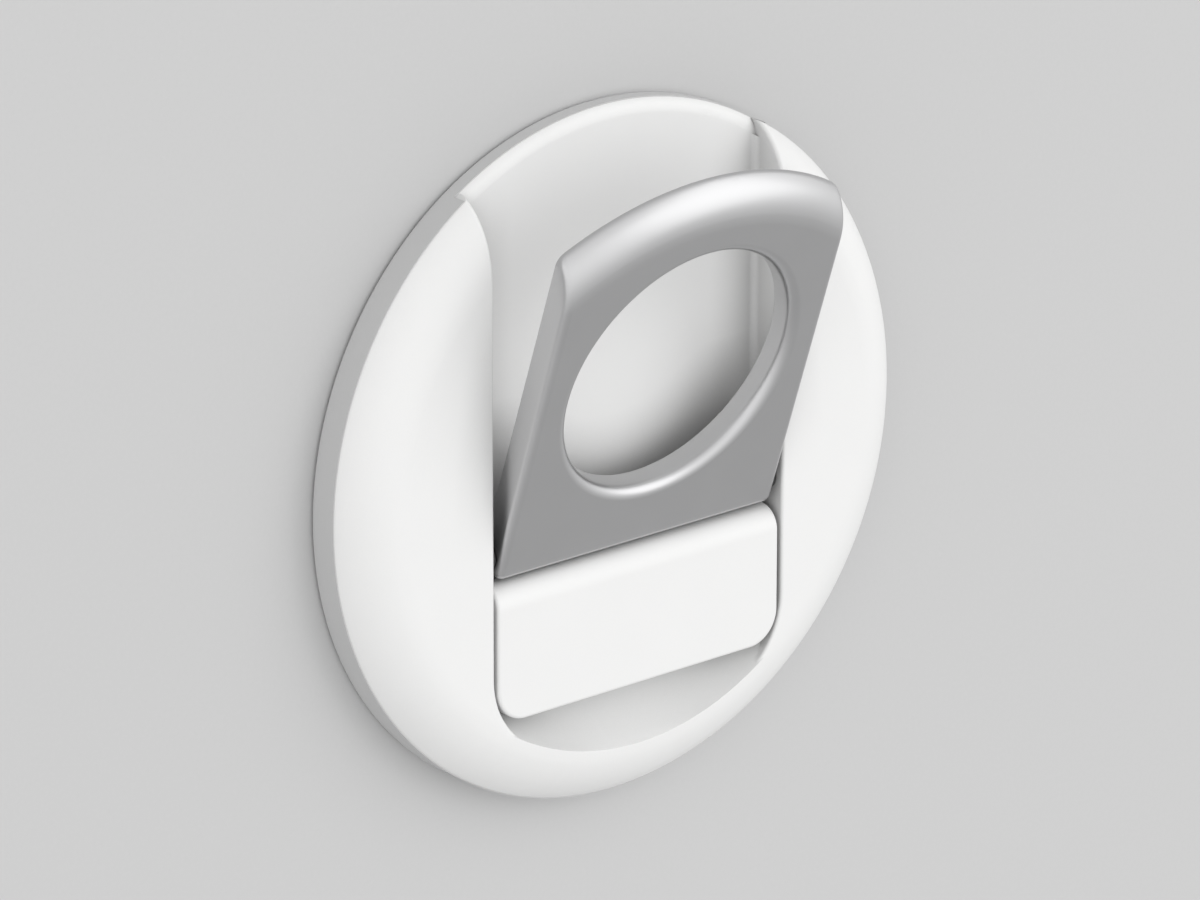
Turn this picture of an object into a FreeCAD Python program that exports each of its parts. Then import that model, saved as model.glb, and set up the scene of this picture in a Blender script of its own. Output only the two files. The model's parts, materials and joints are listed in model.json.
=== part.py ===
import FreeCAD, Part
import math
import os

from FreeCAD import Vector

# A round magnetic phone mount that hooks over a laptop's lid, in millimetres.
# Origin: centre of the back face. +X right and +Y up across the front face, +Z out of it.
# The finger ring and the clip are drawn folded flush with the face.
# The ring is then turned out to its rest angle.

# Disc and its domed shoulder
DISC_RADIUS = 30.4
BODY_HEIGHT = 6.2
SHOULDER_WIDTH = 5.3
SHELL_EDGE_STEP = 0.1
RIM_HEIGHT = 3.05
END_RIM_HEIGHT = 1.7

# Layers from the back face up to the channel's floor
PAD_THICKNESS = 0.5
PAD_PROUD = 0.15
BASE_SKIN = 0.45
MAGNET_THICKNESS = 0.7
YOKE_THICKNESS = 0.3
FLOOR_THICKNESS = 0.45

# Rear base
BASE_WALL = 1.3
BASE_BOTTOM_ROUND = 0.4
PAD_MARGIN = 1.6
PAD_CLEARANCE = 0.1
PAD_EDGE_BEVEL = 0.15
SKIRT_CLEARANCE = 0.1
RIB_WIDTH = 0.7

# Magnet ring
MAGNET_RING_WIDTH = 4.2
MAGNET_RING_WALL = 1.7
MAGNET_COUNT = 16
MAGNET_GAP = 0.3
MAGNET_CLEARANCE = 0.2

# Channel across the face, with a finger scoop at its closed end
CHEEK_BREADTH = 14.55
SCOOP_OVER_SHOULDER = 0.3
SCOOP_CORNER = 7.5
SCOOP_DISH = 6.0
CHANNEL_FLOOR_FILLET = 0.6
CHANNEL_EDGE_FILLET = 0.3
LIP_ROUND = 1.4
MOUTH_JAMB = 0.5

# Walls inside the shell
CHEEK_WALL = 1.2
SKIRT_WALL = 1.1
SCOOP_WALL = 1.1

# Hinges of the ring and the clip
BARREL_DIP = 0.2
RING_HINGE_Y = -5.3
HINGE_SWEEP_CLEARANCE = 0.25
HINGE_BOSS_DEPTH = 2.3
HINGE_BOSS_MARGIN = 2.2
PIN_RADIUS = 0.75
PIN_RUNNING_CLEARANCE = 0.03
PIN_WALL_CLEARANCE = 0.1
PIN_ENGAGEMENT = 3.5
PIN_HEAD_RADIUS = 1.1
PIN_HEAD_THICKNESS = 0.6
PIN_HEAD_CLEARANCE = 0.1
BUSH_RADIUS = 1.2
BUSH_SEAT_DEPTH = 0.8
SPRING_RADIUS = 1.1
SPRING_SHEET = 0.12
SPRING_HEIGHT = 0.3
SPRING_CLEARANCE = 0.04

# Finger ring
RING_REST_ANGLE = 19.0
RING_BELOW_HINGE = 0.6
RING_SIDE_CLEARANCE = 0.75
RING_TOP_INSET = 1.6
RING_END_CLEARANCE = 0.225
RING_RAIL = 3.35
RING_FOOT = 4.3
RING_HOLE_FILLET = 1.0
RING_EDGE_FILLET = 0.7
RING_BACK_FILLET = 0.3
RING_CORNER = 0.8
RING_TOP_CORNER = 1.3
RING_TOP_FACE = 0.35
RING_KNUCKLE_RADIUS = 1.3
WASHER_RADIUS = 1.3
WASHER_CLEARANCE = 0.1

# Clip
CLIP_SIDE_CLEARANCE = 0.4
CLIP_CORNER_CLEARANCE = 0.2
CLIP_WEB_STEP = 0.2
CLIP_CORNER = 3.0
CLIP_EDGE_FILLET = 0.3
CLIP_TROUGH_CLEARANCE = 0.3
HOOK_HALF_WIDTH = 9.0
HOOK_LENGTH = 2.2
HOOK_FLOOR_CLEARANCE = 0.8
CLIP_PAD_THICKNESS = 0.6
CLIP_PAD_HALF_WIDTH = 12.0
CLIP_PAD_MARGIN = 0.3
CLIP_PAD_CORNER = 1.0

# Screws through the base into the shell
SCREW_BOSS_MARGIN = 0.35
SCREW_LOWER_Y = 1.0
SCREW_RADIUS = 0.7
SCREW_CLEARANCE = 0.1
SCREW_PILOT_CLEARANCE = 0.02
SCREW_HEAD_RADIUS = 1.2
SCREW_HEAD_HEIGHT = 0.7
SCREW_BITE = 2.4
SCREW_SLOT_WIDTH = 0.3
SCREW_SLOT_DEPTH = 0.35
SCREW_BOSS_RADIUS = 1.6
SCREW_PILOT_SPARE = 0.3

# Cutting tools run this far past what they cut
OVERCUT = 2.0

# Worked-out levels and radii
BASE_FLOOR = PAD_THICKNESS + BASE_SKIN
YOKE_BOTTOM = BASE_FLOOR + MAGNET_THICKNESS
SHELL_BOTTOM = YOKE_BOTTOM + YOKE_THICKNESS
CHANNEL_FLOOR = SHELL_BOTTOM + FLOOR_THICKNESS
CHANNEL_DEPTH = BODY_HEIGHT - CHANNEL_FLOOR
BARREL_RADIUS = (CHANNEL_DEPTH + BARREL_DIP) / 2
HINGE_HEIGHT = BODY_HEIGHT - BARREL_RADIUS
CHEEK_ROOF = BARREL_RADIUS - PIN_HEAD_RADIUS - PIN_HEAD_CLEARANCE
SHELL_EDGE_RADIUS = DISC_RADIUS - SHELL_EDGE_STEP
PLATEAU_RADIUS = SHELL_EDGE_RADIUS - SHOULDER_WIDTH
CHANNEL_HALF_WIDTH = DISC_RADIUS - CHEEK_BREADTH
MOUTH_HALF_WIDTH = CHANNEL_HALF_WIDTH + MOUTH_JAMB
SCOOP_RADIUS = PLATEAU_RADIUS + SCOOP_OVER_SHOULDER
SCOOP_CORNER_X = CHANNEL_HALF_WIDTH - SCOOP_CORNER
SCOOP_CORNER_REACH = SCOOP_RADIUS - SCOOP_CORNER
SCOOP_CORNER_Y = -math.sqrt(SCOOP_CORNER_REACH**2 - SCOOP_CORNER_X**2)
DISH_CENTRE_Z = CHANNEL_FLOOR + SCOOP_DISH
DISH_RIM_RISE = DISH_CENTRE_Z - BODY_HEIGHT
DISH_FOOT_RADIUS = SCOOP_RADIUS - math.sqrt(SCOOP_DISH**2 - DISH_RIM_RISE**2)
BASE_INNER_RADIUS = DISC_RADIUS - BASE_WALL
SKIRT_RADIUS = BASE_INNER_RADIUS - SKIRT_CLEARANCE
SKIRT_INNER_RADIUS = SKIRT_RADIUS - SKIRT_WALL
PAD_RADIUS = DISC_RADIUS - PAD_MARGIN
MAGNET_RING_OUTER = BASE_INNER_RADIUS - MAGNET_RING_WALL
MAGNET_RING_INNER = MAGNET_RING_OUTER - MAGNET_RING_WIDTH
POCKET_INNER = MAGNET_RING_INNER - MAGNET_CLEARANCE
POCKET_OUTER = MAGNET_RING_OUTER + MAGNET_CLEARANCE
SHOULDER_DROP = BODY_HEIGHT - RIM_HEIGHT
SHOULDER_RADIUS = (SHOULDER_WIDTH**2 + SHOULDER_DROP**2) / (2 * SHOULDER_DROP)
RING_HALF_WIDTH = CHANNEL_HALF_WIDTH - RING_SIDE_CLEARANCE
RING_TOP_RADIUS = DISC_RADIUS - RING_TOP_INSET
RING_BACK = HINGE_HEIGHT - RING_BELOW_HINGE
RING_TOP_WIDTH = RING_TOP_RADIUS - PLATEAU_RADIUS
RING_TOP_DROP = BODY_HEIGHT - RING_BACK - RING_TOP_FACE
RING_TOP_ROUND = (RING_TOP_WIDTH**2 + RING_TOP_DROP**2) / (2 * RING_TOP_DROP)
RING_END = HINGE_HEIGHT - CHANNEL_FLOOR - RING_END_CLEARANCE
RING_HOLE_RADIUS = RING_HALF_WIDTH - RING_RAIL
RING_HOLE_REACH = RING_HOLE_RADIUS + RING_FOOT
RING_SWEEP = RING_EDGE_FILLET + math.hypot(RING_END - RING_EDGE_FILLET, BARREL_RADIUS - RING_EDGE_FILLET)
CLIP_HINGE_Y = RING_HINGE_Y - RING_SWEEP - HINGE_SWEEP_CLEARANCE - BARREL_RADIUS
CLIP_HALF_WIDTH = CHANNEL_HALF_WIDTH - CLIP_SIDE_CLEARANCE
CLIP_CORNER_RUN = SCOOP_CORNER - CLIP_CORNER - CLIP_SIDE_CLEARANCE
CLIP_CORNER_REACH = SCOOP_CORNER - CLIP_CORNER - CLIP_CORNER_CLEARANCE
CLIP_CORNER_DROP = math.sqrt(CLIP_CORNER_REACH**2 - CLIP_CORNER_RUN**2)
CLIP_BACK = HINGE_HEIGHT + CLIP_WEB_STEP
DISH_AT_CLIP_BACK = DISH_FOOT_RADIUS + math.sqrt(SCOOP_DISH**2 - (DISH_CENTRE_Z - CLIP_BACK) ** 2)
CLIP_DISH_REACH = DISH_AT_CLIP_BACK - CLIP_CORNER - CLIP_CORNER_CLEARANCE
CLIP_DISH_DROP = math.sqrt(CLIP_DISH_REACH**2 - (CLIP_HALF_WIDTH - CLIP_CORNER) ** 2)
CLIP_BOTTOM_Y = max(SCOOP_CORNER_Y - CLIP_CORNER_DROP, -CLIP_DISH_DROP) - CLIP_CORNER
HOOK_BOTTOM = CHANNEL_FLOOR + HOOK_FLOOR_CLEARANCE
TROUGH_RADIUS = BARREL_RADIUS + CLIP_TROUGH_CLEARANCE
CHEEK_INNER_X = CHANNEL_HALF_WIDTH + CHEEK_WALL
HINGE_BOSS_X = CHEEK_INNER_X + HINGE_BOSS_DEPTH
SCREW_X = CHEEK_INNER_X + SCREW_BOSS_RADIUS + SCREW_BOSS_MARGIN
SCREW_CIRCLE = POCKET_INNER - SCREW_BOSS_RADIUS - SCREW_BOSS_MARGIN
SCREW_Y = (math.sqrt(SCREW_CIRCLE**2 - SCREW_X**2), SCREW_LOWER_Y)
PIN_TIP_X = RING_HALF_WIDTH - PIN_ENGAGEMENT
PIN_HEAD_X = HINGE_BOSS_X + SPRING_HEIGHT + 2 * SPRING_CLEARANCE
TOOL_SPAN = 2 * DISC_RADIUS
NEAR_ENOUGH = 1e-4

ORIGIN = Vector(0, 0, 0)
X_AXIS = Vector(1, 0, 0)
Y_AXIS = Vector(0, 1, 0)
Z_AXIS = Vector(0, 0, 1)
FULL_TURN = 360.0
SIDES = {"left": -1, "right": 1}


def segment(start, end):
    return Part.LineSegment(start, end).toShape()


def arc_xz(centre_x, centre_z, radius, from_angle, to_angle):
    """Arc in the XZ plane about a centre, by angles in radians from +X."""
    angles = (from_angle, (from_angle + to_angle) / 2, to_angle)
    points = [
        Vector(centre_x + radius * math.cos(a), 0, centre_z + radius * math.sin(a)) for a in angles
    ]
    return Part.Arc(*points).toShape()


def polygon(points):
    return [segment(a, b) for a, b in zip(points, points[1:] + points[:1])]


def turned(edges):
    """Solid of revolution about Z from a closed loop of edges in the XZ plane."""
    face = Part.Face(Part.Wire(edges))
    return face.revolve(ORIGIN, Z_AXIS, FULL_TURN)


def tube(inner, outer, bottom, top):
    corners = [(inner, bottom), (outer, bottom), (outer, top), (inner, top)]
    return turned(polygon([Vector(r, 0, z) for r, z in corners]))


def disc(radius, bottom, top):
    return Part.makeCylinder(radius, top - bottom, Vector(0, 0, bottom))


def block(x_range, y_range, z_range):
    low = Vector(x_range[0], y_range[0], z_range[0])
    spans = [r[1] - r[0] for r in (x_range, y_range, z_range)]
    return Part.makeBox(*spans, low)


def rod(radius, x_range, y, z):
    return Part.makeCylinder(radius, x_range[1] - x_range[0], Vector(x_range[0], y, z), X_AXIS)


def sleeve(inner, outer, x_range, y, z):
    return rod(outer, x_range, y, z).cut(rod(inner, x_range, y, z))


def on_side(shape, side):
    """A piece drawn on the +X side, or its mirror image on the -X side."""
    if SIDES[side] < 0:
        return shape.mirror(ORIGIN, X_AXIS)
    return shape


def both_sides(shape):
    return [on_side(shape, side) for side in SIDES]


def dome(roof, bottom, radius, shoulder):
    """Solid under a flat round roof whose shoulder falls away in an arc, cut off at radius."""
    centre_z = roof - shoulder
    end_angle = math.acos((radius - PLATEAU_RADIUS) / shoulder)
    edge_z = centre_z + shoulder * math.sin(end_angle)
    edges = [
        segment(Vector(0, 0, bottom), Vector(radius, 0, bottom)),
        segment(Vector(radius, 0, bottom), Vector(radius, 0, edge_z)),
        arc_xz(PLATEAU_RADIUS, centre_z, shoulder, end_angle, math.pi / 2),
        segment(Vector(PLATEAU_RADIUS, 0, roof), Vector(0, 0, roof)),
        segment(Vector(0, 0, roof), Vector(0, 0, bottom)),
    ]
    return turned(edges)


def edges_where(shape, test):
    """Edges of a shape whose middle point and ends all pass a test."""
    chosen = []
    for edge in shape.Edges:
        middle = edge.valueAt((edge.FirstParameter + edge.LastParameter) / 2)
        points = [middle] + [vertex.Point for vertex in edge.Vertexes]
        if all(test(point) for point in points):
            chosen.append(edge)
    return chosen


def near(value, target):
    return abs(value - target) < NEAR_ENOUGH


def channel_outline():
    """Plan of the channel: straight walls, open at the top, closed by an arc about the disc's centre."""
    corner = Vector(SCOOP_CORNER_X, SCOOP_CORNER_Y, 0)
    meet = corner * (SCOOP_RADIUS / SCOOP_CORNER_REACH)
    turn = math.atan2(SCOOP_CORNER_Y, SCOOP_CORNER_X) / 2
    bend = corner + Vector(math.cos(turn), math.sin(turn), 0) * SCOOP_CORNER
    wall_foot = Vector(CHANNEL_HALF_WIDTH, SCOOP_CORNER_Y, 0)
    wall_head = Vector(CHANNEL_HALF_WIDTH, TOOL_SPAN, 0)

    def mirrored(point):
        return Vector(-point.x, point.y, point.z)

    edges = [
        segment(wall_head, wall_foot),
        Part.Arc(wall_foot, bend, meet).toShape(),
        Part.Arc(meet, Vector(0, -SCOOP_RADIUS, 0), mirrored(meet)).toShape(),
        Part.Arc(mirrored(meet), mirrored(bend), mirrored(wall_foot)).toShape(),
        segment(mirrored(wall_foot), mirrored(wall_head)),
        segment(mirrored(wall_head), wall_head),
    ]
    return Part.Wire(edges)


def floor_fillets():
    """Strips left standing along the feet of the channel's walls, above the clip's hinge."""
    wall = CHANNEL_HALF_WIDTH
    round_x = wall - CHANNEL_FLOOR_FILLET
    round_z = CHANNEL_FLOOR + CHANNEL_FLOOR_FILLET
    edges = [
        segment(Vector(wall, 0, round_z), Vector(wall, 0, CHANNEL_FLOOR)),
        segment(Vector(wall, 0, CHANNEL_FLOOR), Vector(round_x, 0, CHANNEL_FLOOR)),
        arc_xz(round_x, round_z, CHANNEL_FLOOR_FILLET, -math.pi / 2, 0),
    ]
    face = Part.Face(Part.Wire(edges))
    face.translate(Vector(0, CLIP_HINGE_Y + TROUGH_RADIUS, 0))
    return both_sides(face.extrude(Vector(0, TOOL_SPAN, 0)))


def channel_tools():
    """What is cut out of the front: the open half as a plain slot, the closed half dished by the scoop."""
    top = BODY_HEIGHT + OVERCUT
    face = Part.Face(channel_outline())
    face.translate(Vector(0, 0, CHANNEL_FLOOR))
    slot = face.extrude(Vector(0, 0, top - CHANNEL_FLOOR))
    rim_angle = -math.asin(DISH_RIM_RISE / SCOOP_DISH)
    edges = [
        segment(Vector(0, 0, CHANNEL_FLOOR), Vector(DISH_FOOT_RADIUS, 0, CHANNEL_FLOOR)),
        arc_xz(DISH_FOOT_RADIUS, DISH_CENTRE_Z, SCOOP_DISH, -math.pi / 2, rim_angle),
        segment(Vector(SCOOP_RADIUS, 0, BODY_HEIGHT), Vector(SCOOP_RADIUS, 0, top)),
        segment(Vector(SCOOP_RADIUS, 0, top), Vector(0, 0, top)),
        segment(Vector(0, 0, top), Vector(0, 0, CHANNEL_FLOOR)),
    ]
    closed_half = block((-TOOL_SPAN, TOOL_SPAN), (-TOOL_SPAN, 0), (0, top))
    open_half = block((-TOOL_SPAN, TOOL_SPAN), (0, TOOL_SPAN), (0, top))
    halves = [slot.common(turned(edges)).common(closed_half), slot.common(open_half)]
    return [half.cut(floor_fillets()) for half in halves]


def mouth(half_width):
    """The channel's open end, where the base's rim is lower and the floor rolls over it."""
    return block((-half_width, half_width), (0, TOOL_SPAN), (0, BODY_HEIGHT))


def lip_tool():
    """What is cut off the floor's outer edge to round it down to the lowered rim."""
    outer = SHELL_EDGE_RADIUS
    drop = CHANNEL_FLOOR - END_RIM_HEIGHT
    end_angle = math.asin((LIP_ROUND - drop) / LIP_ROUND)
    round_start = outer - LIP_ROUND * math.cos(end_angle)
    edges = [
        arc_xz(round_start, CHANNEL_FLOOR - LIP_ROUND, LIP_ROUND, end_angle, math.pi / 2),
        segment(Vector(round_start, 0, CHANNEL_FLOOR), Vector(round_start, 0, RIM_HEIGHT)),
        segment(Vector(round_start, 0, RIM_HEIGHT), Vector(TOOL_SPAN, 0, RIM_HEIGHT)),
        segment(Vector(TOOL_SPAN, 0, RIM_HEIGHT), Vector(TOOL_SPAN, 0, END_RIM_HEIGHT)),
        segment(Vector(TOOL_SPAN, 0, END_RIM_HEIGHT), Vector(outer, 0, END_RIM_HEIGHT)),
    ]
    return turned(edges).common(mouth(CHANNEL_HALF_WIDTH))


def on_channel_rim(point):
    """Whether a point lies on the edge where the channel's walls and scoop meet the domed front surface."""
    on_wall = near(abs(point.x), CHANNEL_HALF_WIDTH) and point.z > RIM_HEIGHT - NEAR_ENOUGH
    on_scoop = near(point.z, BODY_HEIGHT) and point.y < 0 and point.Length > PLATEAU_RADIUS - SCOOP_CORNER
    return on_wall or on_scoop


def shell_cavities():
    """Hollows that open to the back: one in each cheek and one behind the scoop's rim."""
    hollow = dome(BODY_HEIGHT - CHEEK_ROOF, 0, SKIRT_INNER_RADIUS, SHOULDER_RADIUS - CHEEK_ROOF)
    cheek = hollow.common(block((CHEEK_INNER_X, TOOL_SPAN), (-TOOL_SPAN, TOOL_SPAN), (0, BODY_HEIGHT)))
    boss_y = (CLIP_HINGE_Y - HINGE_BOSS_MARGIN, RING_HINGE_Y + HINGE_BOSS_MARGIN)
    cheek = cheek.cut(block((0, HINGE_BOSS_X), boss_y, (0, BODY_HEIGHT)))
    for y in SCREW_Y:
        cheek = cheek.cut(Part.makeCylinder(SCREW_BOSS_RADIUS, BODY_HEIGHT, Vector(SCREW_X, y, 0)))
    behind_scoop = hollow.cut(disc(SCOOP_RADIUS + SCOOP_WALL, 0, BODY_HEIGHT))
    chord = (-CHANNEL_HALF_WIDTH, CHANNEL_HALF_WIDTH)
    behind_scoop = behind_scoop.common(block(chord, (-TOOL_SPAN, 0), (0, BODY_HEIGHT)))
    return both_sides(cheek) + [behind_scoop]


def shell_bores():
    """Holes in the right cheek: pins and bushes from the side, screws from the back."""
    tools = []
    for y in (RING_HINGE_Y, CLIP_HINGE_Y):
        through = (CHANNEL_HALF_WIDTH - OVERCUT, HINGE_BOSS_X + OVERCUT)
        seat = (CHANNEL_HALF_WIDTH + BUSH_SEAT_DEPTH, HINGE_BOSS_X)
        tools.append(rod(PIN_RADIUS + PIN_WALL_CLEARANCE, through, y, HINGE_HEIGHT))
        tools.append(rod(BUSH_RADIUS, seat, y, HINGE_HEIGHT))
    pilot_top = SHELL_BOTTOM + SCREW_BITE + SCREW_PILOT_SPARE
    for y in SCREW_Y:
        pilot = Part.makeCylinder(SCREW_RADIUS + SCREW_PILOT_CLEARANCE, pilot_top, Vector(SCREW_X, y, 0))
        tools.append(pilot)
    return tools


def front_shell():
    body = dome(BODY_HEIGHT, END_RIM_HEIGHT, SHELL_EDGE_RADIUS, SHOULDER_RADIUS)
    body = body.cut(disc(SKIRT_RADIUS, 0, SHELL_BOTTOM))
    body = body.cut(tube(SKIRT_RADIUS, TOOL_SPAN, 0, RIM_HEIGHT).cut(mouth(MOUTH_HALF_WIDTH)))
    for tool in channel_tools() + [lip_tool()]:
        body = body.cut(tool)
    body = body.removeSplitter()
    body = body.makeFillet(CHANNEL_EDGE_FILLET, edges_where(body, on_channel_rim))
    trough_span = (-CHEEK_INNER_X, CHEEK_INNER_X)
    trough_back = rod(TROUGH_RADIUS + FLOOR_THICKNESS, trough_span, CLIP_HINGE_Y, HINGE_HEIGHT)
    under_floor = block(trough_span, (-DISC_RADIUS, DISC_RADIUS), (0, CHANNEL_FLOOR))
    body = body.fuse(trough_back.common(under_floor))
    for cavity in shell_cavities():
        body = body.cut(cavity)
    trough = rod(TROUGH_RADIUS, (-CHANNEL_HALF_WIDTH, CHANNEL_HALF_WIDTH), CLIP_HINGE_Y, HINGE_HEIGHT)
    body = body.cut(trough.common(under_floor))
    for tool in shell_bores():
        for side in both_sides(tool):
            body = body.cut(side)
    return body.removeSplitter()


def rear_base():
    corner = BASE_BOTTOM_ROUND
    recess = PAD_RADIUS + PAD_CLEARANCE
    edges = [
        segment(Vector(0, 0, PAD_THICKNESS), Vector(recess, 0, PAD_THICKNESS)),
        segment(Vector(recess, 0, PAD_THICKNESS), Vector(recess, 0, PAD_PROUD)),
        segment(Vector(recess, 0, PAD_PROUD), Vector(DISC_RADIUS - corner, 0, PAD_PROUD)),
        arc_xz(DISC_RADIUS - corner, PAD_PROUD + corner, corner, -math.pi / 2, 0),
        segment(Vector(DISC_RADIUS, 0, PAD_PROUD + corner), Vector(DISC_RADIUS, 0, RIM_HEIGHT)),
        segment(Vector(DISC_RADIUS, 0, RIM_HEIGHT), Vector(BASE_INNER_RADIUS, 0, RIM_HEIGHT)),
        segment(Vector(BASE_INNER_RADIUS, 0, RIM_HEIGHT), Vector(BASE_INNER_RADIUS, 0, SHELL_BOTTOM)),
        segment(Vector(BASE_INNER_RADIUS, 0, SHELL_BOTTOM), Vector(POCKET_OUTER, 0, SHELL_BOTTOM)),
        segment(Vector(POCKET_OUTER, 0, SHELL_BOTTOM), Vector(POCKET_OUTER, 0, BASE_FLOOR)),
        segment(Vector(POCKET_OUTER, 0, BASE_FLOOR), Vector(0, 0, BASE_FLOOR)),
        segment(Vector(0, 0, BASE_FLOOR), Vector(0, 0, PAD_THICKNESS)),
    ]
    body = turned(edges)
    body = body.fuse(tube(POCKET_INNER - RIB_WIDTH, POCKET_INNER, BASE_FLOOR, SHELL_BOTTOM))
    lowered = tube(SKIRT_RADIUS - SKIRT_CLEARANCE, TOOL_SPAN, END_RIM_HEIGHT, BODY_HEIGHT)
    body = body.cut(lowered.common(mouth(MOUTH_HALF_WIDTH)))
    for place in screw_places():
        foot = place + Z_AXIS * BASE_FLOOR
        body = body.fuse(Part.makeCylinder(SCREW_BOSS_RADIUS, SHELL_BOTTOM - BASE_FLOOR, foot))
        body = body.cut(screw_body(place, SCREW_CLEARANCE))
    return body.removeSplitter()


def screw_places():
    return [Vector(side * SCREW_X, y, 0) for side in SIDES.values() for y in SCREW_Y]


def screw_body(place, clearance):
    """Countersunk screw shape, head at the pad's recess, grown by a clearance."""
    head_top = PAD_THICKNESS + SCREW_HEAD_HEIGHT
    tip = SHELL_BOTTOM + SCREW_BITE
    head = Part.makeCone(
        SCREW_HEAD_RADIUS + clearance,
        SCREW_RADIUS + clearance,
        SCREW_HEAD_HEIGHT,
        place + Z_AXIS * PAD_THICKNESS,
    )
    shank = Part.makeCylinder(SCREW_RADIUS + clearance, tip - head_top, place + Z_AXIS * head_top)
    return head.fuse(shank).removeSplitter()


def case_screws():
    screws = []
    half = SCREW_SLOT_WIDTH / 2
    depth = (PAD_THICKNESS, PAD_THICKNESS + SCREW_SLOT_DEPTH)
    arm = SCREW_HEAD_RADIUS - SCREW_SLOT_DEPTH
    for place in screw_places():
        cross = block((-arm, arm), (-half, half), depth).fuse(block((-half, half), (-arm, arm), depth))
        cross.translate(place)
        screws.append(screw_body(place, 0).cut(cross))
    return Part.makeCompound(screws)


def contact_pad():
    pad = disc(PAD_RADIUS, 0, PAD_THICKNESS)
    lower = edges_where(pad, lambda p: near(p.z, 0) and p.Length > PAD_EDGE_BEVEL)
    return pad.makeChamfer(PAD_EDGE_BEVEL, lower)


def ring_magnets():
    """Arc-shaped magnets with a narrow gap between neighbours."""
    ring = tube(MAGNET_RING_INNER, MAGNET_RING_OUTER, BASE_FLOOR, YOKE_BOTTOM)
    pitch = FULL_TURN / MAGNET_COUNT
    half = MAGNET_GAP / 2
    for index in range(MAGNET_COUNT):
        gap = block((0, TOOL_SPAN), (-half, half), (0, BODY_HEIGHT))
        gap.rotate(ORIGIN, Z_AXIS, index * pitch)
        ring = ring.cut(gap)
    return Part.makeCompound(ring.Solids)


def magnet_yoke():
    return tube(MAGNET_RING_INNER, MAGNET_RING_OUTER, YOKE_BOTTOM, SHELL_BOTTOM)


def turned_out(shape):
    """Turn a piece of the ring from folded flush to its rest angle."""
    shape.rotate(Vector(0, RING_HINGE_Y, HINGE_HEIGHT), X_AXIS, RING_REST_ANGLE)
    return shape


def finger_ring():
    """Plate with a rounded free end, a finger hole and a hinge knuckle at its lower edge."""
    end_y = RING_HINGE_Y - RING_END
    plan = block((-RING_HALF_WIDTH, RING_HALF_WIDTH), (end_y, RING_TOP_RADIUS), (RING_BACK, BODY_HEIGHT))
    plate = plan.common(dome(BODY_HEIGHT, 0, RING_TOP_RADIUS, RING_TOP_ROUND))
    top_y = math.sqrt(RING_TOP_RADIUS**2 - RING_HALF_WIDTH**2)
    for corner_y, corner in ((top_y, RING_TOP_CORNER), (end_y, RING_CORNER)):
        upright = edges_where(plate, lambda p: near(abs(p.x), RING_HALF_WIDTH) and near(p.y, corner_y))
        plate = plate.makeFillet(corner, upright)
    # This fillet runs on from the lower end round the whole front edge, which has no sharp turns.
    end = edges_where(plate, lambda p: near(p.y, end_y) and near(p.z, BODY_HEIGHT))
    plate = plate.makeFillet(RING_EDGE_FILLET, end)
    knuckle = rod(RING_KNUCKLE_RADIUS, (-RING_HALF_WIDTH, RING_HALF_WIDTH), RING_HINGE_Y, HINGE_HEIGHT)
    hole_y = RING_HINGE_Y + RING_HOLE_REACH
    hole = Part.makeCylinder(RING_HOLE_RADIUS, BODY_HEIGHT + OVERCUT, Vector(0, hole_y, 0))
    plate = plate.cut(hole)

    def on_hole(point):
        return near(math.hypot(point.x, point.y - hole_y), RING_HOLE_RADIUS)

    rim = edges_where(plate, lambda p: on_hole(p) and p.z > HINGE_HEIGHT)
    plate = plate.makeFillet(RING_HOLE_FILLET, rim)
    back = edges_where(plate, lambda p: on_hole(p) and near(p.z, RING_BACK))
    plate = plate.makeFillet(RING_BACK_FILLET, back)
    plate = plate.fuse(knuckle).removeSplitter()
    for side in both_sides(rod(PIN_RADIUS, (PIN_TIP_X, TOOL_SPAN), RING_HINGE_Y, HINGE_HEIGHT)):
        plate = plate.cut(side)
    return turned_out(plate)


def clip_lip():
    """Web with a hinge barrel at its upper edge and a hook at its lower edge."""
    span = (-CLIP_HALF_WIDTH, CLIP_HALF_WIDTH)
    web = block(span, (CLIP_BOTTOM_Y, CLIP_HINGE_Y), (CLIP_BACK, BODY_HEIGHT))
    corners = edges_where(web, lambda p: near(p.y, CLIP_BOTTOM_Y) and near(abs(p.x), CLIP_HALF_WIDTH))
    web = web.makeFillet(CLIP_CORNER, corners)
    front = edges_where(web, lambda p: near(p.z, BODY_HEIGHT))
    front = [edge for edge in front if not near(edge.CenterOfMass.y, CLIP_HINGE_Y)]
    web = web.makeFillet(CLIP_EDGE_FILLET, front)
    barrel = rod(BARREL_RADIUS, span, CLIP_HINGE_Y, HINGE_HEIGHT)
    ends = edges_where(barrel, lambda p: near(abs(p.x), CLIP_HALF_WIDTH))
    barrel = barrel.makeFillet(CLIP_EDGE_FILLET, ends)
    hook = block(
        (-HOOK_HALF_WIDTH, HOOK_HALF_WIDTH),
        (CLIP_BOTTOM_Y, CLIP_BOTTOM_Y + HOOK_LENGTH),
        (HOOK_BOTTOM, CLIP_BACK),
    )
    tip = edges_where(hook, lambda p: near(p.z, HOOK_BOTTOM))
    hook = hook.makeFillet(CLIP_EDGE_FILLET, tip)
    clip = web.fuse([barrel, hook]).removeSplitter()
    for side in both_sides(rod(PIN_RADIUS, (PIN_TIP_X, TOOL_SPAN), CLIP_HINGE_Y, HINGE_HEIGHT)):
        clip = clip.cut(side)
    return clip


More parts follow.
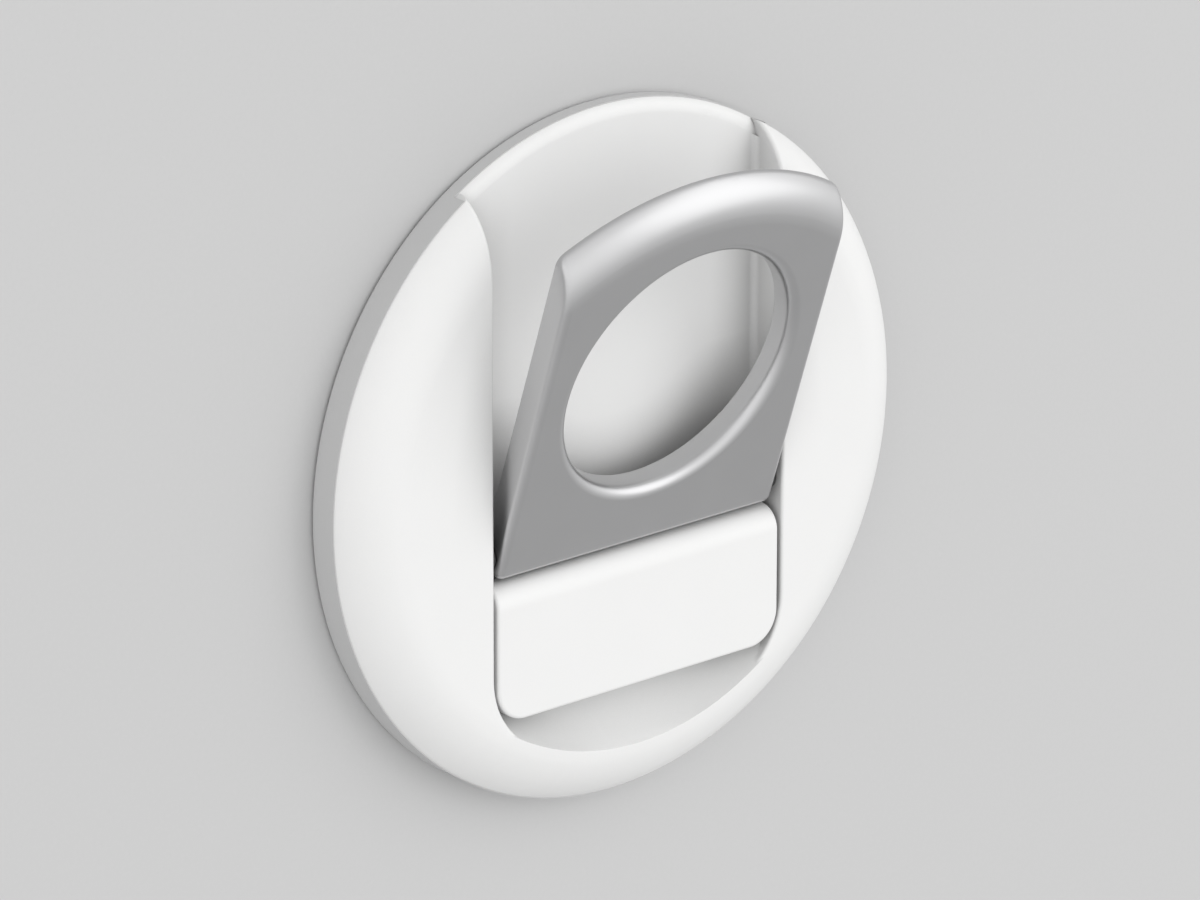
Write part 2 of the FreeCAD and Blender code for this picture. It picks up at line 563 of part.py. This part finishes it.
def clip_pad():
    y_range = (
        CLIP_BOTTOM_Y + HOOK_LENGTH + CLIP_PAD_MARGIN,
        CLIP_HINGE_Y - BARREL_RADIUS - CLIP_PAD_MARGIN,
    )
    z_range = (CLIP_BACK - CLIP_PAD_THICKNESS, CLIP_BACK)
    pad = block((-CLIP_PAD_HALF_WIDTH, CLIP_PAD_HALF_WIDTH), y_range, z_range)
    upright = edges_where(pad, lambda p: near(abs(p.x), CLIP_PAD_HALF_WIDTH))
    upright = [edge for edge in upright if not near(edge.Vertexes[0].Z, edge.Vertexes[1].Z)]
    return pad.makeFillet(CLIP_PAD_CORNER, upright)


def hinge_pin(y):
    shank = rod(PIN_RADIUS, (PIN_TIP_X, PIN_HEAD_X), y, HINGE_HEIGHT)
    head = rod(PIN_HEAD_RADIUS, (PIN_HEAD_X, PIN_HEAD_X + PIN_HEAD_THICKNESS), y, HINGE_HEIGHT)
    return shank.fuse(head).removeSplitter()


def hinge_bush(y):
    span = (CHANNEL_HALF_WIDTH + BUSH_SEAT_DEPTH, HINGE_BOSS_X)
    return sleeve(PIN_RADIUS + PIN_RUNNING_CLEARANCE, BUSH_RADIUS, span, y, HINGE_HEIGHT)


def hinge_spring(y):
    """Disc spring: a thin coned washer between the bush and the pin's head."""
    inner = PIN_RADIUS + PIN_WALL_CLEARANCE
    rise = SPRING_HEIGHT - SPRING_SHEET
    profile = [(inner, rise), (inner, SPRING_HEIGHT), (SPRING_RADIUS, SPRING_SHEET), (SPRING_RADIUS, 0)]
    spring = turned(polygon([Vector(r, 0, z) for r, z in profile]))
    spring.rotate(ORIGIN, Y_AXIS, FULL_TURN / 4)
    spring.translate(Vector(HINGE_BOSS_X + SPRING_CLEARANCE, y, HINGE_HEIGHT))
    return spring


def ring_washer():
    span = (RING_HALF_WIDTH + WASHER_CLEARANCE, CHANNEL_HALF_WIDTH - WASHER_CLEARANCE)
    return sleeve(PIN_RADIUS + WASHER_CLEARANCE, WASHER_RADIUS, span, RING_HINGE_Y, HINGE_HEIGHT)


def pieces():
    """Every node's name and shape."""
    nodes = {
        "front_shell": front_shell(),
        "rear_base": rear_base(),
        "contact_pad": contact_pad(),
        "ring_magnets": ring_magnets(),
        "magnet_yoke": magnet_yoke(),
        "case_screws": case_screws(),
        "finger_ring": finger_ring(),
        "clip_lip": clip_lip(),
        "clip_pad": clip_pad(),
    }
    for side in SIDES:
        nodes["ring_pin_" + side] = turned_out(on_side(hinge_pin(RING_HINGE_Y), side))
        nodes["ring_washer_" + side] = turned_out(on_side(ring_washer(), side))
        nodes["ring_bush_" + side] = on_side(hinge_bush(RING_HINGE_Y), side)
        nodes["ring_spring_" + side] = on_side(hinge_spring(RING_HINGE_Y), side)
        nodes["clip_pin_" + side] = on_side(hinge_pin(CLIP_HINGE_Y), side)
        nodes["clip_bush_" + side] = on_side(hinge_bush(CLIP_HINGE_Y), side)
        nodes["clip_spring_" + side] = on_side(hinge_spring(CLIP_HINGE_Y), side)
    return nodes


def main():
    os.makedirs("parts", exist_ok=True)
    for name, shape in pieces().items():
        shape.exportStep("parts/" + name + ".step")
        print(name, "solids", len(shape.Solids), "valid", shape.isValid(), "volume", round(shape.Volume, 2))


main()
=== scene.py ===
import json
import math

import bpy
from mathutils import Matrix, Vector


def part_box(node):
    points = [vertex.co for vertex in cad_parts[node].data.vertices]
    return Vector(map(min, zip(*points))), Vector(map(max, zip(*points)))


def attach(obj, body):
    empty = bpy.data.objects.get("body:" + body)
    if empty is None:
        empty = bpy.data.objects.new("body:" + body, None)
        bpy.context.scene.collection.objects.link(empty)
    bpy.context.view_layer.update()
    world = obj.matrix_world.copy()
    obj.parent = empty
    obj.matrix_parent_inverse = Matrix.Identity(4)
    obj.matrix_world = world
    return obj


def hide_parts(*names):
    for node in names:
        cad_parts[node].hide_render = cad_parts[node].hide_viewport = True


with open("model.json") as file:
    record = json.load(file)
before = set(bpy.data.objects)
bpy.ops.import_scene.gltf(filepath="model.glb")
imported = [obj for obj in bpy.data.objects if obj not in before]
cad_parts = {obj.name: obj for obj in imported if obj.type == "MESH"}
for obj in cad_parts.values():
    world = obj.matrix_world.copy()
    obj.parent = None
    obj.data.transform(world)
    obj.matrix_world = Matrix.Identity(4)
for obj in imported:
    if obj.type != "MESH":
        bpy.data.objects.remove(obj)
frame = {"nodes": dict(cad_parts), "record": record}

# Looks of a round magnetic phone mount with a tilting finger ring and a fold-out clip.
# Lengths are in metres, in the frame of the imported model.

MM = 0.001

# Camera, fitted to the photograph and brought closer by its lens
CAMERA_PLACE = Vector((-433.88, 244.84, 513.09)) * MM
CAMERA_AIM = Vector((-1.84, 0.59, 3.09)) * MM
CAMERA_UP = Vector((0.22292, 0.93806, -0.26524))
CAMERA_LENS = 255
CAMERA_SENSOR = 36
CAMERA_NEAR = 10 * MM

# Smoothing of the solids' facets
WELD_DISTANCE = 0.001 * MM
SHARP_ANGLE = math.radians(30)
FLAT_FACE_WEIGHT = 50

# Soft pads, modelled anew over their solids: the round one on the back and the strip in the clip's hook
PAD_SIDES = 256
PAD_ROUND = 0.15 * MM
PAD_ROUND_STEPS = 4
STRIP_CORNER = 1.0 * MM
STRIP_CORNER_STEPS = 8
STRIP_ROUND = 0.18 * MM
STRIP_ROUND_STEPS = 4
PLACE_TOLERANCE = 0.01 * MM
SOFT_EDGE_ANGLE = math.radians(40)

# Light tent: brightest along an arch over the mount, and dimmer to both sides of it.
# The arch runs square to the way across, leans that way, and its light fades over a stretch of it.
ARCH_RADIANCE = 1.28
TENT_RADIANCE = 0.52
ARCH_ACROSS = (-0.1, 0.995, 0)
ARCH_LEAN = 0.27
ARCH_FADE = 1.15

# Soft box at the back right
BOX_PLACE = Vector((0.73, 0.43, 0.85))
BOX_SIZE = 1.0
BOX_WATTS = 2.0

# Painted shade in the shell's hollows: how near a wall counts, and the share of the colour left in a
# closed hollow
PAINTED_SHADE_REACH = 5.2 * MM
PAINTED_SHADE_TONE = 0.38

# Grain of every finish: layers in its fine and its slow noise, and the fine one's share in the tone
GRAIN_DETAIL = 2.0
CLOUD_DETAIL = 3.0
GRAIN_SHARE = 0.5
OPAQUE = 1.0

# Finishes: two near colours, a range of roughness, the size of the grain and of the slow clouds in it,
# and how deep the grain looks
FINISHES = {
    "satin white shell": {
        "colours": ((0.82, 0.82, 0.815), (0.86, 0.86, 0.855)),
        "roughness": (0.4, 0.5),
        "grain": 0.14 * MM,
        "cloud": 6 * MM,
        "depth": 0.0022 * MM,
    },
    "satin grey base": {
        "colours": ((0.53, 0.53, 0.53), (0.57, 0.57, 0.57)),
        "roughness": (0.42, 0.54),
        "grain": 0.14 * MM,
        "cloud": 5 * MM,
        "depth": 0.003 * MM,
    },
    "blasted ring": {
        "colours": ((0.53, 0.53, 0.535), (0.57, 0.57, 0.575)),
        "roughness": (0.28, 0.36),
        "grain": 0.09 * MM,
        "cloud": 4 * MM,
        "depth": 0.0016 * MM,
        "metallic": 1.0,
    },
    "soft contact face": {
        "colours": ((0.6, 0.6, 0.59), (0.66, 0.66, 0.65)),
        "roughness": (0.68, 0.82),
        "grain": 0.2 * MM,
        "cloud": 7 * MM,
        "depth": 0.006 * MM,
    },
    "soft clip lining": {
        "colours": ((0.33, 0.33, 0.33), (0.38, 0.38, 0.38)),
        "roughness": (0.66, 0.8),
        "grain": 0.2 * MM,
        "cloud": 3 * MM,
        "depth": 0.006 * MM,
    },
    "turned steel": {
        "colours": ((0.5, 0.5, 0.51), (0.62, 0.62, 0.63)),
        "roughness": (0.22, 0.34),
        "grain": 0.06 * MM,
        "cloud": 1.2 * MM,
        "depth": 0.002 * MM,
        "metallic": 1.0,
    },
    "turned brass": {
        "colours": ((0.62, 0.42, 0.16), (0.72, 0.52, 0.22)),
        "roughness": (0.24, 0.36),
        "grain": 0.06 * MM,
        "cloud": 1.2 * MM,
        "depth": 0.002 * MM,
        "metallic": 1.0,
    },
    "nickel plating": {
        "colours": ((0.62, 0.6, 0.56), (0.7, 0.68, 0.64)),
        "roughness": (0.14, 0.24),
        "grain": 0.1 * MM,
        "cloud": 2 * MM,
        "depth": 0.001 * MM,
        "metallic": 1.0,
    },
    "dark washer": {
        "colours": ((0.04, 0.04, 0.04), (0.06, 0.06, 0.06)),
        "roughness": (0.4, 0.52),
        "grain": 0.1 * MM,
        "cloud": 1.5 * MM,
        "depth": 0.002 * MM,
    },
}

FINISH_OF_SLOT = {
    "shell_plastic": "satin white shell",
    "base_plastic": "satin grey base",
    "contact_rubber": "soft contact face",
    "clip_rubber": "soft clip lining",
    "ring_aluminium": "blasted ring",
    "magnet_plating": "nickel plating",
    "plain_steel": "turned steel",
    "bush_brass": "turned brass",
    "washer_plastic": "dark washer",
}

# Floor under the mount
FLOOR_SIZE = 4.0
FLOOR_FINISH = {
    "colours": ((0.56, 0.56, 0.56), (0.6, 0.6, 0.6)),
    "roughness": (0.55, 0.7),
    "grain": 0.4 * MM,
    "cloud": 300 * MM,
    "depth": 0.004 * MM,
}

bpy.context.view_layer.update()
scene = bpy.context.scene


def new_group(name, inputs, outputs):
    """Empty shader node group with its sockets and its two end nodes."""
    group = bpy.data.node_groups.new(name, "ShaderNodeTree")
    for label, kind in inputs:
        group.interface.new_socket(label, in_out="INPUT", socket_type=kind)
    for label, kind in outputs:
        group.interface.new_socket(label, in_out="OUTPUT", socket_type=kind)
    return group, group.nodes.new("NodeGroupInput"), group.nodes.new("NodeGroupOutput")


def noise(tree, place, scale_socket, detail):
    """Noise at a place of the surface, between nought and one."""
    node = tree.nodes.new("ShaderNodeTexNoise")
    node.inputs["Detail"].default_value = detail
    tree.links.new(place, node.inputs["Vector"])
    tree.links.new(scale_socket, node.inputs["Scale"])
    return node.outputs["Fac"]


def make_grain_group():
    """Fine moulded or blasted grain, with slow clouds of tone and gloss over it."""
    group, ins, outs = new_group(
        "surface grain",
        [
            ("Colour", "NodeSocketColor"),
            ("Paler Colour", "NodeSocketColor"),
            ("Least Roughness", "NodeSocketFloat"),
            ("Most Roughness", "NodeSocketFloat"),
            ("Grains per Metre", "NodeSocketFloat"),
            ("Clouds per Metre", "NodeSocketFloat"),
        ],
        [("Colour", "NodeSocketColor"), ("Roughness", "NodeSocketFloat"), ("Height", "NodeSocketFloat")],
    )
    place = group.nodes.new("ShaderNodeTexCoord").outputs["Object"]
    grain = noise(group, place, ins.outputs["Grains per Metre"], GRAIN_DETAIL)
    clouds = noise(group, place, ins.outputs["Clouds per Metre"], CLOUD_DETAIL)
    blend = group.nodes.new("ShaderNodeMix")
    blend.data_type = "FLOAT"
    blend.inputs["Factor"].default_value = GRAIN_SHARE
    group.links.new(clouds, blend.inputs["A"])
    group.links.new(grain, blend.inputs["B"])
    tint = group.nodes.new("ShaderNodeMix")
    tint.data_type = "RGBA"
    group.links.new(blend.outputs["Result"], tint.inputs["Factor"])
    group.links.new(ins.outputs["Colour"], tint.inputs["A"])
    group.links.new(ins.outputs["Paler Colour"], tint.inputs["B"])
    gloss = group.nodes.new("ShaderNodeMapRange")
    group.links.new(blend.outputs["Result"], gloss.inputs["Value"])
    group.links.new(ins.outputs["Least Roughness"], gloss.inputs["To Min"])
    group.links.new(ins.outputs["Most Roughness"], gloss.inputs["To Max"])
    group.links.new(tint.outputs["Result"], outs.inputs["Colour"])
    group.links.new(gloss.outputs["Result"], outs.inputs["Roughness"])
    group.links.new(grain, outs.inputs["Height"])
    return group


def make_finish(name, values, grain_group):
    """Material of a finish, with its colour, gloss and grain from the grain group."""
    colour, paler_colour = values["colours"]
    least_roughness, most_roughness = values["roughness"]
    settings = {
        "Colour": (*colour, OPAQUE),
        "Paler Colour": (*paler_colour, OPAQUE),
        "Least Roughness": least_roughness,
        "Most Roughness": most_roughness,
        "Grains per Metre": 1 / values["grain"],
        "Clouds per Metre": 1 / values["cloud"],
    }
    material = bpy.data.materials.new(name)
    material.use_nodes = True
    tree = material.node_tree
    shader = tree.nodes["Principled BSDF"]
    shader.inputs["Metallic"].default_value = values.get("metallic", 0)
    grain = tree.nodes.new("ShaderNodeGroup")
    grain.node_tree = grain_group
    for label, value in settings.items():
        grain.inputs[label].default_value = value
    bump = tree.nodes.new("ShaderNodeBump")
    bump.inputs["Distance"].default_value = values["depth"]
    tree.links.new(grain.outputs["Height"], bump.inputs["Height"])
    tree.links.new(grain.outputs["Colour"], shader.inputs["Base Color"])
    tree.links.new(grain.outputs["Roughness"], shader.inputs["Roughness"])
    tree.links.new(bump.outputs["Normal"], shader.inputs["Normal"])
    return material


def paint_shade_in_hollows(node):
    """Give a piece a finish of its own, with painted shade: its colour lower in tone where walls stand
    close around.
    """
    finish = node.data.materials[0].copy()
    finish.name = "satin white shell with painted shade in hollows"
    node.data.materials[0] = finish
    tree = finish.node_tree
    shader = tree.nodes["Principled BSDF"]
    colour = shader.inputs["Base Color"].links[0].from_socket
    # Painted shade: ambient occlusion lowers the base colour where walls of this piece or of pieces
    # around it stand close
    openness = tree.nodes.new("ShaderNodeAmbientOcclusion")
    openness.inputs["Distance"].default_value = PAINTED_SHADE_REACH
    tone = tree.nodes.new("ShaderNodeMapRange")
    tone.inputs["To Min"].default_value = PAINTED_SHADE_TONE
    tree.links.new(openness.outputs["AO"], tone.inputs["Value"])
    shaded = tree.nodes.new("ShaderNodeVectorMath")
    shaded.operation = "SCALE"
    tree.links.new(colour, shaded.inputs["Vector"])
    tree.links.new(tone.outputs["Result"], shaded.inputs["Scale"])
    tree.links.new(shaded.outputs["Vector"], shader.inputs["Base Color"])


def smooth_solid(node):
    """Round shading over the solid's facets, with its true edges kept."""
    node.data.polygons.foreach_set("use_smooth", [True] * len(node.data.polygons))
    weld = node.modifiers.new("weld facets", "WELD")
    weld.merge_threshold = WELD_DISTANCE
    split = node.modifiers.new("keep edges", "EDGE_SPLIT")
    split.split_angle = SHARP_ANGLE
    normals = node.modifiers.new("flat faces first", "WEIGHTED_NORMAL")
    normals.weight = FLAT_FACE_WEIGHT


def dress_solids(finishes):
    """Give each solid the finish of its slot in the record."""
    slots = {part["node"]: part["material_slot"] for part in frame["record"]["subparts"]}
    for name, node in frame["nodes"].items():
        node.data.materials.clear()
        node.data.materials.append(finishes[FINISH_OF_SLOT[slots[name]]])
        smooth_solid(node)


def pick_edges(piece, test):
    """Go into edit mode with just the edges selected whose two ends pass a test."""
    bpy.ops.object.mode_set(mode="EDIT")
    bpy.ops.mesh.select_mode(type="EDGE")
    bpy.ops.mesh.select_all(action="DESELECT")
    bpy.ops.object.mode_set(mode="OBJECT")
    mesh = piece.data
    for edge in mesh.edges:
        ends = [mesh.vertices[index].co for index in edge.vertices]
        edge.select = test(*ends)
    bpy.ops.object.mode_set(mode="EDIT")


def level_at(height):
    """Test for an edge that lies level at a height."""
    return lambda start, end: max(abs(start.z - height), abs(end.z - height)) < PLACE_TOLERANCE


def upright(start, end):
    """Test for an edge that runs up or down."""
    return abs(start.z - end.z) > PLACE_TOLERANCE


def finish_pad(piece, name, body, finish):
    """Put a modelled pad's place into its mesh, and give it its name, finish and body."""
    bpy.ops.object.mode_set(mode="OBJECT")
    bpy.ops.object.transform_apply(location=True, rotation=True, scale=True)
    bpy.ops.object.shade_smooth_by_angle(angle=SOFT_EDGE_ANGLE)
    piece.name = name
    piece.data.materials.append(finish)
    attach(piece, body)


def model_contact_pad(finish):
    """Thin soft disc on the back: a round face drawn down, with its lower rim rolled over."""
    low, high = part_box("contact_pad")
    bpy.ops.object.select_all(action="DESELECT")
    bpy.ops.mesh.primitive_circle_add(
        vertices=PAD_SIDES, radius=high.x, fill_type="NGON", location=(0, 0, high.z)
    )
    pad = bpy.context.object
    bpy.ops.object.transform_apply(location=True)
    bpy.ops.object.mode_set(mode="EDIT")
    bpy.ops.mesh.select_all(action="SELECT")
    bpy.ops.mesh.extrude_region_move(TRANSFORM_OT_translate={"value": (0, 0, low.z - high.z)})
    bpy.ops.mesh.select_all(action="SELECT")
    bpy.ops.mesh.normals_make_consistent(inside=False)
    pick_edges(pad, level_at(low.z))
    bpy.ops.mesh.bevel(offset=PAD_ROUND, segments=PAD_ROUND_STEPS, affect="EDGES")
    finish_pad(pad, "soft_contact_face", "mount_body", finish)
    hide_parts("contact_pad")


def model_clip_lining(finish):
    """Soft strip inside the hook: a block with round corners and a rolled lower edge."""
    low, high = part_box("clip_pad")
    bpy.ops.object.select_all(action="DESELECT")
    bpy.ops.mesh.primitive_cube_add(size=1, location=(low + high) / 2, scale=high - low)
    strip = bpy.context.object
    bpy.ops.object.transform_apply(location=True, scale=True)
    pick_edges(strip, upright)
    bpy.ops.mesh.bevel(offset=STRIP_CORNER, segments=STRIP_CORNER_STEPS, affect="EDGES")
    pick_edges(strip, level_at(low.z))
    bpy.ops.mesh.bevel(offset=STRIP_ROUND, segments=STRIP_ROUND_STEPS, affect="EDGES")
    finish_pad(strip, "soft_clip_lining", "clip_body", finish)
    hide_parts("clip_pad")


def lay_floor(grain_group):
    """Pale level floor that the mount lies on."""
    bpy.ops.object.select_all(action="DESELECT")
    bpy.ops.mesh.primitive_plane_add(size=FLOOR_SIZE)
    floor = bpy.context.object
    floor.name = "floor"
    floor.data.materials.append(make_finish("pale floor", FLOOR_FINISH, grain_group))


def hang_soft_box():
    """Square lamp that faces the mount."""
    lamp = bpy.data.lights.new("soft box", "AREA")
    lamp.size = BOX_SIZE
    lamp.energy = BOX_WATTS
    holder = bpy.data.objects.new("soft box", lamp)
    holder.location = BOX_PLACE
    holder.rotation_euler = (-BOX_PLACE).to_track_quat("-Z", "Y").to_euler()
    scene.collection.objects.link(holder)


def pitch_light_tent():
    """World light with a bright arch from left to right over the mount."""
    world = bpy.data.worlds.new("light tent")
    world.use_nodes = True
    tree = world.node_tree
    direction = tree.nodes.new("ShaderNodeTexCoord").outputs["Generated"]
    across = tree.nodes.new("ShaderNodeVectorMath")
    across.operation = "DOT_PRODUCT"
    across.inputs[1].default_value = ARCH_ACROSS
    tree.links.new(direction, across.inputs[0])
    off_arch = tree.nodes.new("ShaderNodeMath")
    off_arch.operation = "SUBTRACT"
    off_arch.inputs[1].default_value = ARCH_LEAN
    tree.links.new(across.outputs["Value"], off_arch.inputs[0])
    distance = tree.nodes.new("ShaderNodeMath")
    distance.operation = "ABSOLUTE"
    tree.links.new(off_arch.outputs["Value"], distance.inputs[0])
    fade = tree.nodes.new("ShaderNodeMapRange")
    fade.interpolation_type = "SMOOTHSTEP"
    fade.inputs["From Max"].default_value = ARCH_FADE
    fade.inputs["To Min"].default_value = ARCH_RADIANCE
    fade.inputs["To Max"].default_value = TENT_RADIANCE
    tree.links.new(distance.outputs["Value"], fade.inputs["Value"])
    tree.links.new(fade.outputs["Result"], tree.nodes["Background"].inputs["Color"])
    scene.world = world


def set_camera():
    """Camera that looks from its place at its aim, turned so that its up side is as fitted."""
    back = (CAMERA_PLACE - CAMERA_AIM).normalized()
    right = CAMERA_UP.cross(back).normalized()
    up = back.cross(right)
    lens = bpy.data.cameras.new("camera")
    lens.lens = CAMERA_LENS
    lens.sensor_width = CAMERA_SENSOR
    lens.clip_start = CAMERA_NEAR
    camera = bpy.data.objects.new("camera", lens)
    turn = Matrix((right, up, back)).transposed().to_4x4()
    camera.matrix_world = Matrix.Translation(CAMERA_PLACE) @ turn
    scene.collection.objects.link(camera)
    scene.camera = camera


def main():
    """Dress the solids, model the soft pads, and set up the floor, the light and the camera."""
    set_camera()
    grain_group = make_grain_group()
    finishes = {name: make_finish(name, values, grain_group) for name, values in FINISHES.items()}
    dress_solids(finishes)
    # Painted shade in the shell's hollows, put into its colour
    paint_shade_in_hollows(frame["nodes"]["front_shell"])
    model_contact_pad(finishes["soft contact face"])
    model_clip_lining(finishes["soft clip lining"])
    lay_floor(grain_group)
    hang_soft_box()
    pitch_light_tent()
    scene.view_settings.view_transform = "Standard"


main()
